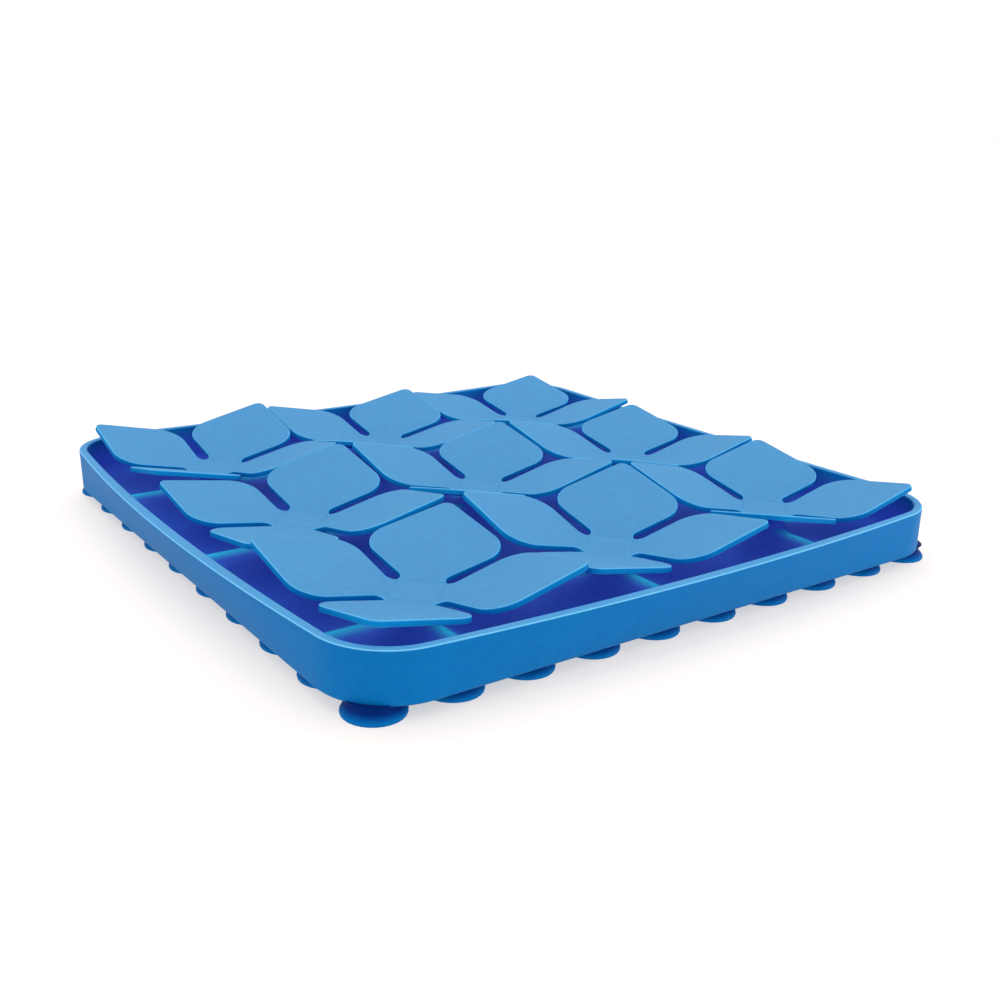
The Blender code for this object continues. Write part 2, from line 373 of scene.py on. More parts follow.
@dataclass(frozen=True)
class SiliconeFinish:
    """A pigment and surface of moulded silicone.

    Faces that look up are painted lighter, as painted light from above, and faces that look down take a
    colour of their own, as painted shade.

    Attributes:
        name: The material's name.
        slot: The record's slot that it stands for; it is not used.
        upper: The colour of faces that look up, painted lighter as painted light from above.
        side: The colour of upright faces.
        lower: The colour of faces that look down, a painted shade colour.
        shade: The painted shade colour where the attribute of that name is 1: in the tray's hollow, on the
            flowers' stems and on the cups' necks.
        painted_glow: A painted glow given out there, which stands in for light that the translucent
            silicone scatters back.
        crest_highlight: The painted highlight colour where the attribute of that name is 1, on the crests
            of the ribs.
        edge: The painted highlight colour where the attribute of that name is 1, along rounded edges, on
            the rim and on the cups' lips.
        crease_shade: The painted shade colour where the attribute of that name is 1, in the groove along a
            fold.
        roughness: How matt the skin is.
        specular: How much the skin reflects straight on.
        ior: The silicone's index of refraction.
        bump: How strongly the skin's grain shows.
        grain_depth: The height of the skin's grain.
        grain_scale: The number of grain features in a metre.
        cloudiness: How uneven the pigment is from one area to the next.
        mottling: How uneven brightness and hue are within a few millimetres.
        dust: How much the rare specks of dust show.
        dust_colour: The colour of the specks.
    """

    name: str
    slot: Slot
    upper: RGB
    side: RGB
    lower: RGB
    deep: RGB = (0.035, 0.11, 0.58)
    painted_glow: RGB = (0.008, 0.018, 0.105)
    crest_highlight: RGB = (0.04, 0.72, 1.0)
    edge: RGB = (0.12, 0.53, 0.88)
    crease_shade: RGB = (0.045, 0.24, 0.48)
    roughness: float = 0.5
    specular: float = 0.08
    ior: float = 1.43
    bump: float = 0.35
    grain_depth: float = 0.02 * MM
    grain_scale: float = 1500.0
    cloudiness: float = 0.08
    mottling: float = 0.16
    dust: float = 0.10
    dust_colour: RGB = (0.25, 0.45, 0.70)

    def pigment(self, board: NodeBoard) -> Socket:
        """Return the colour before grain and dust, with its painted light and painted shade.

        Args:
            board: The material's board.

        Returns:
            The colour's socket.
        """
        # Faces that look up are painted lighter, as lit from above, and faces that look down take the
        # painted shade colour; then the attributes add painted shade, painted highlights and the painted
        # shade of the fold grooves.
        facing_up = board.split(board.node("ShaderNodeTexCoord").outputs["Normal"])[2]
        facing_down = board.math("MULTIPLY", facing_up, -1.0)
        colour = board.mix_colour(board.ramp(facing_up, *LIT_UP_RANGE), self.side, self.upper)
        colour = board.mix_colour(board.ramp(facing_down, *SHADED_DOWN_RANGE), colour, self.lower)
        for attribute, target in (
            (SHADE, self.deep),
            (CREST_HIGHLIGHT, self.crest_highlight),
            (EDGE_HIGHLIGHT, self.edge),
            (CREASE_SHADE, self.crease_shade),
        ):
            colour = board.mix_colour(board.attribute(attribute), colour, target)
        return colour

    def build(self, skin: bpy.types.NodeTree) -> bpy.types.Material:
        """Make the material.

        Args:
            skin: The shared moulded skin group.

        Returns:
            The material.
        """
        material = bpy.data.materials.new(self.name)
        material.use_nodes = True
        board = NodeBoard(material.node_tree)
        settings = {
            "Grain Scale": self.grain_scale,
            "Cloudiness": self.cloudiness,
            "Mottling": self.mottling,
            "Dust": self.dust,
        }
        texture = board.fed("ShaderNodeGroup", settings, node_tree=skin).outputs
        shades = {"Color": self.pigment(board), "Value": texture["Brightness"], "Hue": texture["Hue"]}
        clean = board.fed("ShaderNodeHueSaturation", shades).outputs["Color"]
        grain = {"Strength": self.bump, "Distance": self.grain_depth, "Height": texture["Height"]}
        surface = {
            "Base Color": board.mix_colour(texture["Dust Mask"], clean, self.dust_colour),
            # A painted glow in the painted shade: the material gives out light there though it is no lamp.
            "Emission Color": board.mix_colour(board.attribute(SHADE), (0.0, 0.0, 0.0), self.painted_glow),
            "Emission Strength": 1.0,
            "Roughness": board.math("ADD", self.roughness, texture["Roughness Shift"]),
            "Normal": board.fed("ShaderNodeBump", grain).outputs["Normal"],
            "IOR": self.ior,
            "Specular IOR Level": self.specular,
        }
        board.feed_all(material.node_tree.nodes["Principled BSDF"], surface)
        return material


# Each finish's upper colour is painted light on faces that look up, and its lower colour is painted shade
# on faces that look down.
FLOWER_FINISH = SiliconeFinish(
    name="flower_silicone",
    slot=Slot.FLOWER,
    upper=(0.075, 0.285, 0.552),
    side=(0.0, 0.21, 0.55),
    lower=(0.0, 0.20, 0.62),
    roughness=0.6,
    specular=0.05,
)
TRAY_FINISH = SiliconeFinish(
    name="tray_silicone",
    slot=Slot.TRAY,
    upper=(0.07, 0.30, 0.60),
    side=(0.0, 0.156, 0.452),
    lower=(0.0, 0.12, 0.36),
    # The rim's painted highlight.
    edge=(0.20, 0.64, 0.96),
    dust=0.30,
)
# The cups are the tray's silicone painted darker, as painted shade under the tray.
SHADED_CUP_FINISH = SiliconeFinish(
    name="shaded_cup_silicone",
    slot=Slot.TRAY,
    upper=(0.0, 0.06, 0.29),
    side=(0.0, 0.06, 0.29),
    lower=(0.0, 0.06, 0.29),
    deep=(0.0, 0.022, 0.17),
    painted_glow=(0.0, 0.0, 0.0),
    edge=(0.0, 0.15, 0.45),
    specular=0.04,
)


# Mesh helpers


def arc_points(centre: Point2, radius: float, start: float, sweep: float, steps: int) -> list[Point2]:
    """Return the points of an arc, both ends included.

    Args:
        centre: The arc's centre.
        radius: Its radius.
        start: Its first angle, in degrees.
        sweep: The angle that it covers, in degrees.
        steps: The number of chords.

    Returns:
        The points, in order.
    """
    angles = (math.radians(start + sweep * i / steps) for i in range(steps + 1))
    return [(centre[0] + radius * math.cos(a), centre[1] + radius * math.sin(a)) for a in angles]


def line_points(first: Point2, last: Point2, steps: int) -> list[Point2]:
    """Return evenly spaced points of a line, both ends included.

    Args:
        first: One end.
        last: The other end.
        steps: The number of stretches.

    Returns:
        The points, in order.
    """
    return [
        (first[0] + (last[0] - first[0]) * i / steps, first[1] + (last[1] - first[1]) * i / steps)
        for i in range(steps + 1)
    ]


def chain(*stretches: Sequence[Point2]) -> list[Point2]:
    """Join stretches end to end, keeping each shared end once.

    Args:
        *stretches: Lists of points, each starting where the last one ends.

    Returns:
        One list of points.
    """
    joined = list(stretches[0])
    for stretch in stretches[1:]:
        joined.extend(stretch[1:])
    return joined


def quarter_turn(point: Point2, count: int) -> Point2:
    """Turn a point about the origin by quarter turns.

    Args:
        point: The point.
        count: The number of quarter turns, anticlockwise.

    Returns:
        The turned point.
    """
    x, y = point
    for _ in range(count % 4):
        x, y = -y, x
    return (x, y)


def loft(mesh: bmesh.types.BMesh, rings: Rows) -> None:
    """Join closed rings of the same number of corners with quads.

    Args:
        mesh: The mesh that holds the rings.
        rings: The rings, in order.
    """
    for lower, upper in zip(rings, rings[1:]):
        for i, _ in enumerate(lower):
            j = (i + 1) % len(lower)
            mesh.faces.new((lower[i], lower[j], upper[j], upper[i]))


def add_layers(mesh: bmesh.types.BMesh, *names: str) -> list[bmesh.types.BMLayerItem]:
    """Add a number of each name to a mesh's points.

    Args:
        mesh: The mesh.
        *names: The attributes' names.

    Returns:
        The layers that hold the numbers, in the order of the names.
    """
    for name in names:
        mesh.verts.layers.float.new(name)
    return [mesh.verts.layers.float[name] for name in names]


def add_cells(mesh: bmesh.types.BMesh, rows: Rows, hole: tuple[int, int] = (0, 0)) -> None:
    """Add the quads between rows of points.

    Args:
        mesh: The mesh that holds the points.
        rows: Rows of the same length.
        hole: The first row and column, and the last, of a square left open.
    """
    for i, (lower, upper) in enumerate(zip(rows, rows[1:])):
        for j in range(len(lower) - 1):
            if not all(hole[0] <= k < hole[1] for k in (i, j)):
                mesh.faces.new((lower[j], lower[j + 1], upper[j + 1], upper[j]))


def square_ring(rows: Rows, low: int, high: int) -> list[bmesh.types.BMVert]:
    """Return the points round a square of a grid.

    Args:
        rows: The grid's rows of points.
        low: The square's first row and column.
        high: Its last row and column.

    Returns:
        The points in order, from the first row's first.
    """
    ring = [rows[i][low] for i in range(low, high)]
    ring += [rows[high][j] for j in range(low, high)]
    ring += [rows[i][high] for i in range(high, low, -1)]
    return ring + [rows[low][j] for j in range(high, low, -1)]


def finish_mesh(name: str, mesh: bmesh.types.BMesh) -> bpy.types.Mesh:
    """Weld a mesh, point its faces outwards, shade it smooth and turn it into mesh data.

    Args:
        name: The mesh's name.
        mesh: The bmesh, which is freed.

    Returns:
        The finished mesh data.
    """
    bmesh.ops.remove_doubles(mesh, verts=mesh.verts, dist=WELD_DISTANCE)
    bmesh.ops.recalc_face_normals(mesh, faces=mesh.faces)
    for face in mesh.faces:
        face.smooth = True
    data = bpy.data.meshes.new(name)
    mesh.to_mesh(data)
    mesh.free()
    return data


# Flowers


@dataclass(frozen=True)
class FlowerPose:
    """How one flower stands.

    Attributes:
        column: Its place along X, 1 to 3.
        row: Its place along Y, 1 to 3.
        turn: How far it is turned about its stem, in degrees.
        lifts: The fold-up angle of each petal, in degrees, in the order of Quarter.
    """

    column: int
    row: int
    turn: float
    lifts: tuple[float, float, float, float]

    @property
    def node(self) -> str:
        """Return the name of the flower's CAD node."""
        return f"flower_x{self.column}_y{self.row}"

    @property
    def middle(self) -> Point2:
        """Return the place of the flower's middle."""
        return (MIDDLE[0] + (self.column - 2) * FLOWER_PITCH, MIDDLE[1] + (self.row - 2) * FLOWER_PITCH)


POSES = (
    FlowerPose(1, 1, 1.0, (15.0, 16.5, 16.5, 17.5)),
    FlowerPose(2, 1, -1.0, (19.0, 19.0, 14.5, 17.0)),
    FlowerPose(3, 1, 1.0, (17.0, 18.5, 18.0, 16.5)),
    FlowerPose(1, 2, 1.0, (18.5, 13.5, 12.5, 16.5)),
    FlowerPose(2, 2, 0.5, (17.5, 18.5, 18.5, 18.0)),
    FlowerPose(3, 2, 1.0, (15.5, 17.5, 18.0, 17.0)),
    FlowerPose(1, 3, -0.5, (19.5, 18.0, 17.0, 17.5)),
    FlowerPose(2, 3, 0.5, (16.5, 16.5, 17.5, 16.0)),
    FlowerPose(3, 3, 1.5, (15.0, 14.0, 16.5, 17.5)),
)


@dataclass
class PetalFlowers:
    """The nine flowers: each a hub with four petals folded up from it, on a stem.

    A flower is first laid out flat.  A flat quarter is a patch with four sides: the fold, the near
    slit, the outer edge round the petal's tip, and the far slit.
    """

    finish: SiliconeFinish = FLOWER_FINISH
    thickness: float = 2.0 * MM
    hub_top: float = 14.5 * MM
    slit_start: float = 11.4 * MM
    slit_half_width: float = 2.5 * MM
    reach: float = 38.7 * MM
    side_corner: float = 9.5 * MM
    tip_corner: float = 3.5 * MM
    top_round: float = 0.5 * MM
    under_round: float = 0.4 * MM
    bend_length: float = 1.4 * MM
    crease_width: float = 0.3 * MM
    crease_depth: float = 0.12 * MM
    crease_shade_share: float = 0.5
    # How much painted highlight the underside's rounded edge gets.
    under_edge_highlight_share: float = 0.3
    slit_steps: int = 5
    edge_steps: int = 6
    corner_steps: int = 4
    tip_steps: int = 3
    round_steps: int = 4
    stem_cells: int = 8
    # Rows of radius, height and how much painted shade the stem carries under the petals.
    stem_profile: tuple[tuple[float, float, float], ...] = (
        (7.7 * MM, -2.0 * MM, 0.0),
        (7.0 * MM, -2.3 * MM, 0.2),
        (6.6 * MM, -3.0 * MM, 0.5),
        (6.7 * MM, -4.5 * MM, 1.0),
        (7.2 * MM, -5.6 * MM, 1.0),
        (7.8 * MM, -6.4 * MM, 1.0),
        (7.8 * MM, -6.5 * MM, 1.0),
    )

    def near_slit(self, inset: float) -> list[Point2]:
        """Return the near slit's side of a flat quarter, from the hub outwards.

        Args:
            inset: How far inside the outline the line runs.

        Returns:
            Points from the slit's end to the middle of the petal's side corner.
        """
        gap = self.slit_half_width
        centre = (self.slit_start + gap, 0.0)
        end = arc_points(centre, gap + inset, 180, -90, self.slit_steps)
        beside_fold = arc_points(centre, gap + inset, 180, -math.degrees(self.crease_width / gap), 1)
        end.insert(1, beside_fold[1])
        corner = (self.reach - self.side_corner, gap + self.side_corner)
        edge = line_points(end[-1], (corner[0], gap + inset), self.edge_steps)
        bend = arc_points(corner, self.side_corner - inset, -90, 45, self.corner_steps)
        return chain(end, edge, bend)

    def outer_edge(self, inset: float) -> list[Point2]:
        """Return the outer edge of a flat quarter, round the petal's tip.

        Args:
            inset: How far inside the outline the line runs.

        Returns:
            Points from the middle of one side corner to the middle of the other.
        """
        corner = (self.reach - self.side_corner, self.slit_half_width + self.side_corner)
        bend = arc_points(corner, self.side_corner - inset, -45, 45, self.corner_steps)
        tip_middle = self.reach - self.tip_corner
        edge = line_points(bend[-1], (self.reach - inset, tip_middle), self.edge_steps)
        half_tip = arc_points((tip_middle, tip_middle), self.tip_corner - inset, 0, 45, self.tip_steps)
        half = chain(bend, edge, half_tip)
        return half + [(y, x) for x, y in reversed(half[:-1])]

    def outline(self, inset: float) -> list[Point2]:
        """Return the whole flat flower's outline.

        Args:
            inset: How far inside the true outline it runs.

        Returns:
            The closed outline's points.
        """
        near = self.near_slit(inset)
        far = [(y, x) for x, y in reversed(near)]
        quarter = chain(near, self.outer_edge(inset), far)
        return [quarter_turn(point, turn) for turn in range(4) for point in quarter[:-1]]

    def hub_lines(self, cells: int, tip: float) -> list[float]:
        """Return the places of the hub's grid lines, with one close to each fold.

        Args:
            cells: The number of cells between two folds.
            tip: The distance of the hub's corners from its middle.

        Returns:
            Places from -1 to 1.
        """
        first = 1 - 2 * self.crease_width / (tip * ROOT_TWO)
        inner = [first * (2 * i / (cells - 2) - 1) for i in range(cells - 1)]
        return [-1.0, *inner, 1.0]

    def quarter_patch(self, inset: float) -> list[list[Point2]]:
        """Fill one flat petal with rows of points that follow its four sides.

        Args:
            inset: How far inside the outline its edge runs.

        Returns:
            Rows from the fold to the outer edge.
        """
        near = self.near_slit(inset)
        outer = self.outer_edge(inset)
        far = [(y, x) for x, y in near]
        columns = len(outer) - 1
        across = [(1 + line) / 2 for line in self.hub_lines(columns, near[0][0])]
        fold = [(near[0][0] * (1 - s), near[0][0] * s) for s in across]
        lengths = [0.0]
        for first, second in zip(near, near[1:]):
            lengths.append(lengths[-1] + math.dist(first, second))
        rows = []
        for step, travelled in enumerate(lengths):
            t = travelled / lengths[-1]
            row = []
            for column, s in enumerate(across):
                row.append(
                    tuple(
                        (1 - t) * fold[column][axis]
                        + t * outer[column][axis]
                        + (1 - s) * near[step][axis]
                        + s * far[step][axis]
                        - (1 - s) * ((1 - t) * fold[0][axis] + t * outer[0][axis])
                        - s * ((1 - t) * fold[-1][axis] + t * outer[-1][axis])
                        for axis in range(2)
                    )
                )
            rows.append(row)
        return rows

    def add_sheet(
        self, mesh: bmesh.types.BMesh, inset: float, height: float, hole_cells: int
    ) -> list[bmesh.types.BMVert]:
        """Add the flat top or underside: four petals and the hub between them.

        The top, which has no hole, gets a shallow groove along each fold, painted with shade.

        Args:
            mesh: The mesh to add to.
            inset: How far inside the outline the sheet ends.
            height: The sheet's height, from the hub's top.
            hole_cells: Half the side, in cells, of a hole left for the stem, or 0.

        Returns:
            The corners of the hole, in order round it.
        """
        patch = self.quarter_patch(inset)
        grooves = []
        for turn in range(4):
            rows = [
                [mesh.verts.new((*quarter_turn(point, turn), height)) for point in row] for row in patch
            ]
            add_cells(mesh, rows)
            grooves.extend(rows[0][1:-1])
        tip = patch[0][0][0]
        cells = len(patch[0]) - 1
        places = self.hub_lines(cells, tip)
        rows = []
        for p in places:
            points = [(tip * (p - q) / 2, tip * (p + q) / 2) for q in places]
            rows.append([mesh.verts.new((*point, height)) for point in points])
        low, high = cells // 2 - hole_cells, cells // 2 + hole_cells
        add_cells(mesh, rows, (low, high))
        if not hole_cells:
            grooves += rows[0][1:-1] + rows[-1][1:-1]
            grooves += [corner for row in rows[1:-1] for corner in (row[0], row[-1])]
            # The groove along each fold is painted with shade.
            crease_shade = mesh.verts.layers.float[CREASE_SHADE]
            for corner in grooves:
                corner.co.z -= self.crease_depth
                corner[crease_shade] = self.crease_shade_share
            return []
        for i in range(low + 1, high):
            for j in range(low + 1, high):
                mesh.verts.remove(rows[i][j])
        return square_ring(rows, low, high)

    def edge_profile(self) -> list[tuple[float, float, float]]:
        """Return the rounded edge's section.

        Returns:
            Rows of inset, height and how strongly the edge is painted with a highlight, from the top sheet
            round to the underside.
        """
        profile = []
        angles = [math.radians(90) * step / self.round_steps for step in range(self.round_steps + 1)]
        for angle in angles:
            inset = self.top_round * (1 - math.sin(angle))
            drop = self.top_round * (1 - math.cos(angle))
            profile.append((inset, -drop, math.sin(2 * angle) ** 4))
        for angle in angles:
            inset = self.under_round * (1 - math.cos(angle))
            height = self.under_round * (1 - math.sin(angle)) - self.thickness
            profile.append((inset, height, self.under_edge_highlight_share * math.sin(2 * angle) ** 2))
        return profile

    def build_flat(self) -> bpy.types.Mesh:
        """Build the flat flower with its rounded edges and its stem.

        Returns:
            The mesh, with its hub's top at height 0.
        """
        mesh = bmesh.new()
        edge, _, deep = add_layers(mesh, EDGE_HIGHLIGHT, CREASE_SHADE, SHADE)
        self.add_sheet(mesh, self.top_round, 0.0, 0)
        rings = []
        # The rounded edge carries a painted highlight.
        for inset, height, pale in self.edge_profile():
            ring = [mesh.verts.new((x, y, height)) for x, y in self.outline(inset)]
            for corner in ring:
                corner[edge] = pale
            rings.append(ring)
        loft(mesh, rings)
        ring = self.add_sheet(mesh, self.under_round, -self.thickness, self.stem_cells)
        directions = [corner.co.xy.normalized() for corner in ring]
        radius = self.stem_profile[0][0]
        for corner, direction in zip(ring, directions):
            corner.co = (*(direction * radius), -self.thickness)
        stem = [ring]
        for radius, height, shade_share in self.stem_profile[1:]:
            stem.append([mesh.verts.new((*(direction * radius), height)) for direction in directions])
            for corner in stem[-1]:
                corner[deep] = shade_share
        loft(mesh, stem)
        mesh.faces.new(stem[-1])
        return finish_mesh("flat_flower", mesh)

    def build_folding_tree(self) -> GeometryTree:
        """Build the tree that folds each petal up by its own angle.

        A point beyond the fold is carried round a short bend and on along the raised petal.  The whole
        flower is then turned about its stem.

        Returns:
            The tree.
        """
        lift_names = [quarter.input_name for quarter in Quarter]
        tree = GeometryTree("fold_petals", [*lift_names, "Fold Distance", "Bend Length", "Turn"])
        given = tree.inputs
        x, y, z = tree.split(tree.node("GeometryNodeInputPosition").outputs[0])
        sign_x, sign_y = tree.math("SIGN", x), tree.math("SIGN", y)
        far_x, far_y = tree.math("ABSOLUTE", x), tree.math("ABSOLUTE", y)
        along = tree.math("DIVIDE", tree.math("ADD", far_x, far_y), ROOT_TWO)
        across = tree.math("DIVIDE", tree.math("SUBTRACT", far_x, far_y), ROOT_TWO)

        lift = 0.0
        for quarter in Quarter:
            matches_x = tree.math("GREATER_THAN", tree.math("MULTIPLY", x, quarter.value[0]), 0.0)
            matches_y = tree.math("GREATER_THAN", tree.math("MULTIPLY", y, quarter.value[1]), 0.0)
            both = tree.math("MULTIPLY", matches_x, matches_y)
            lift = tree.math("MULTIPLY_ADD", both, given[quarter.input_name], lift)
        lift = tree.math("MAXIMUM", lift, LEAST_LIFT)

        bend = given["Bend Length"]
        start = tree.math("MULTIPLY_ADD", bend, -0.5, given["Fold Distance"])
        past = tree.math("SUBTRACT", along, start)
        flat = tree.math("ADD", start, tree.math("MINIMUM", past, 0.0))
        round_part = tree.math("MINIMUM", tree.math("MAXIMUM", past, 0.0), bend)
        straight = tree.math("MAXIMUM", tree.math("SUBTRACT", past, bend), 0.0)
        turned = tree.math("MULTIPLY", lift, tree.math("DIVIDE", round_part, bend))
        radius = tree.math("DIVIDE", bend, lift)

        out = tree.math("MULTIPLY_ADD", radius, tree.math("SINE", turned), flat)
        out = tree.math("MULTIPLY_ADD", straight, tree.math("COSINE", turned), out)
        depth = tree.math("MULTIPLY", z, -1.0)
        out = tree.math("MULTIPLY_ADD", depth, tree.math("SINE", turned), out)
        up = tree.math("MULTIPLY", radius, tree.math("SUBTRACT", 1.0, tree.math("COSINE", turned)))
        up = tree.math("MULTIPLY_ADD", straight, tree.math("SINE", turned), up)
        up = tree.math("MULTIPLY_ADD", z, tree.math("COSINE", turned), up)

        new_x = tree.math("MULTIPLY", tree.math("ADD", out, across), sign_x)
        new_y = tree.math("MULTIPLY", tree.math("SUBTRACT", out, across), sign_y)
        moved_to = tree.join(
            tree.math("DIVIDE", new_x, ROOT_TWO), tree.math("DIVIDE", new_y, ROOT_TWO), up
        )
        folded = {"Geometry": given["Geometry"], "Position": moved_to}
        geometry = tree.fed("GeometryNodeSetPosition", folded).outputs["Geometry"]
        about_stem = {"Axis": (0.0, 0.0, 1.0), "Angle": given["Turn"]}
        rotation = tree.fed("FunctionNodeAxisAngleToRotation", about_stem).outputs["Rotation"]
        turned_round = {"Geometry": geometry, "Rotation": rotation}
        tree.finish(tree.fed("GeometryNodeTransform", turned_round).outputs["Geometry"])
        return tree

    def build(self, skin: bpy.types.NodeTree) -> None:
        """Fold and place all nine flowers, dress them and set them on the frame.

        Args:
            skin: The shared moulded skin group.
        """
        material = self.finish.build(skin)
        flat = self.build_flat()
        tree = self.build_folding_tree()
        for pose in POSES:
            values = {
                **{quarter.input_name: math.radians(lift) for quarter, lift in zip(Quarter, pose.lifts)},
                "Fold Distance": self.slit_start / ROOT_TWO,
                "Bend Length": self.bend_length,
                "Turn": math.radians(pose.turn),
                "Place": (*pose.middle, self.hub_top),
                "Material": material,
            }
            piece = tree.apply("petals_" + pose.node.removeprefix("flower_"), flat, values)
            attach(piece, ROOT_BODY)
            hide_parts(pose.node)
            LOG.info("%s: %d faces", piece.name, len(piece.data.polygons))


# Tray


@dataclass(frozen=True)
class WallPoint:
    """A point of the wall's section.

    Attributes:
        inset: How far it lies inside the outer face.
        height: Its height.
        shade: How much painted shade it carries, 0 to 1, growing down into the hollow.
        on_floor: How far it belongs to the floor, 0 to 1.
        pale: How strongly its edge is painted with a highlight, 0 to 1.
    """

    inset: float
    height: float
    deep: float = 0.0
    on_floor: float = 0.0
    pale: float = 0.0


@dataclass
class Tray:
    """The tray: underside, leaning wall with a rounded rim, and a floor with soft ribs and pads.

    The soft wall bows out at -X and -Y and is drawn in at +X and +Y.
    """

    finish: SiliconeFinish = TRAY_FINISH
    underside: float = 4.4 * MM
    rim: float = 21.3 * MM
    floor: float = 6.5 * MM
    foot_half_width: float = 124.0 * MM
    rim_half_width: float = 124.6 * MM
    foot_corner: float = 23.75 * MM
    rim_corner: float = 24.3 * MM
    rim_bow: float = 5.0 * MM
    side_bow_shares: tuple[float, float, float, float] = (-0.25, -0.55, 1.14, 0.95)
    drawn_in_share: float = 0.36
    bow_loss: float = 0.28
    rim_thickness: float = 3.1 * MM
    foot_thickness: float = 3.6 * MM
    lower_round: float = 1.1 * MM
    rim_outer_round: float = 0.5 * MM
    rim_inner_round: float = 0.8 * MM
    floor_round: float = 3.0 * MM
    hollow_depth: float = 8.0 * MM
    round_steps: int = 5
    rib_height: float = 1.4 * MM
    rib_half_width: float = 3.9 * MM
    pad_height: float = 1.2 * MM
    pad_radius: float = 9.5 * MM
    pad_blend: float = 2.5 * MM
    fine_lines: tuple[float, ...] = tuple(
        step * MM for step in (0.0, 0.5, 1.0, 1.5, 2.1, 2.8, 4.2, 5.8, 7.5, 9.0, 10.5, 12.0)
    )
    grid_half_width: float = 111.0 * MM
    straight_to: float = 96.0 * MM
    corner_cells: int = 8
    slope_rounds: int = 4
    gap_steps: int = 9
    outside_steps: int = 3
    inside_steps: int = 5
    foot_overlap: float = 6.0 * MM
    floor_overlap: float = 1.4 * MM
    rib_blend: float = 0.3 * MM
    # How closely the painted highlight keeps to a rib's crest.
    crest_highlight_power: float = 1.2

    def measuring_lines(self) -> list[float]:
        """Return the places of the floor's grid lines, close together over ribs and pads.

        Returns:
            Sorted distances from the middle.
        """
        lines = {0.0}
        for centre in (0.0, FLOWER_PITCH):
            lines.update(centre + sign * offset for offset in self.fine_lines for sign in (1, -1))
        gap_start, gap_end = self.fine_lines[-1], FLOWER_PITCH - self.fine_lines[-1]
        steps = self.gap_steps
        lines.update(gap_start + (gap_end - gap_start) * i / steps for i in range(1, steps))
        last = FLOWER_PITCH + self.fine_lines[-1]
        lines.add((last + self.straight_to) / 2)
        cell = (self.grid_half_width - self.straight_to) / self.corner_cells
        lines.update(self.straight_to + cell * i for i in range(self.corner_cells + 1))
        positive = sorted({round(value, LINE_DIGITS) for value in lines if value >= 0.0})
        return [-value for value in reversed(positive[1:])] + positive

    def side(self, half: float, radius: float, bow: float, lines: Sequence[float]) -> list[Point2]:
        """Return the wall's side at +X, with half a corner at each end.

        Args:
            half: Its distance from the middle at the corners.
            radius: The corners' radius.
            bow: How far its middle is bowed out.
            lines: The floor's grid lines, which its points meet on the straight part.

        Returns:
            The side's points, towards +Y.
        """
        end = half - radius
        for _ in range(self.slope_rounds):
            slope = math.atan(2 * bow / end)
            end = half - radius * (math.cos(slope) - math.sin(slope))
        centre = half - radius * math.cos(slope)
        turned_back = FLOWER_PITCH + self.fine_lines[-1]
        points = []
        for line in lines[:-1]:
            reach = abs(line)
            if reach <= self.straight_to + WELD_DISTANCE:
                along = reach
                if reach > turned_back:
                    share = (reach - turned_back) / (self.straight_to - turned_back)
                    along = turned_back + (end - turned_back) * share
                x = half + bow * (1 - (along / end) ** 2)
            else:
                share = (reach - self.straight_to) / (self.grid_half_width - self.straight_to)
                angle = slope + (math.radians(45) - slope) * share
                x = centre + radius * math.cos(angle)
                along = centre + radius * math.sin(angle)
            points.append((x, math.copysign(along, line)))
        return points

    def ring(self, inset: float, height: float, lines: Sequence[float]) -> list[Vector]:
        """Return one closed ring of the wall.

        Args:
            inset: How far inside the wall's outer face it runs.
            height: Its height.
            lines: The floor's grid lines.

        Returns:
            The ring's points, anticlockwise from the middle of the corner between +X and -Y.
        """
        rise = (height - self.underside) / (self.rim - self.underside)
        half = self.foot_half_width + (self.rim_half_width - self.foot_half_width) * rise - inset
        radius = self.foot_corner + (self.rim_corner - self.foot_corner) * rise - inset
        bow = rise * (self.rim_bow - self.bow_loss * inset)
        drawn_in = 1 - self.drawn_in_share * bow / half
        ring = []
        for turn, share in enumerate(self.side_bow_shares):
            for point in self.side(half, radius, share * bow, lines):
                x, y = (value * (drawn_in if value > 0 else 1.0) for value in quarter_turn(point, turn))
                ring.append(Vector((x, y, height)))
        return ring

    def wall_profile(self) -> list[WallPoint]:
        """Lay out the wall's section.

        Returns:
            Its points, from under the foot, up over the rim and down to the floor.
        """
        steps = self.round_steps

        def fillet(inset: float, height: float, radius: float, start: float, sweep: float) -> list[Point2]:
            """Return a fillet's points about a centre, angles measured from straight inwards."""
            return arc_points((inset, height), radius, start, sweep, steps)

        low = fillet(self.lower_round, self.underside + self.lower_round, self.lower_round, 270, -90)
        outer_round, inner_round, floor_round = self.rim_outer_round, self.rim_inner_round, self.floor_round
        outer_rim = fillet(outer_round, self.rim - outer_round, outer_round, 180, -90)
        inner_rim = fillet(self.rim_thickness - inner_round, self.rim - inner_round, inner_round, 90, -90)
        foot = fillet(self.foot_thickness + floor_round, self.floor + floor_round, floor_round, 180, 90)
        profile = [WallPoint(self.foot_overlap, self.underside)]
        for inset, height in [*low, *line_points(low[-1], outer_rim[0], self.outside_steps)[1:-1]]:
            profile.append(WallPoint(inset, height))
        # The outer rim's rounding gets a painted highlight.
        for step, (inset, height) in enumerate(outer_rim):
            profile.append(WallPoint(inset, height, pale=math.sin(math.pi * step / steps) ** 3))
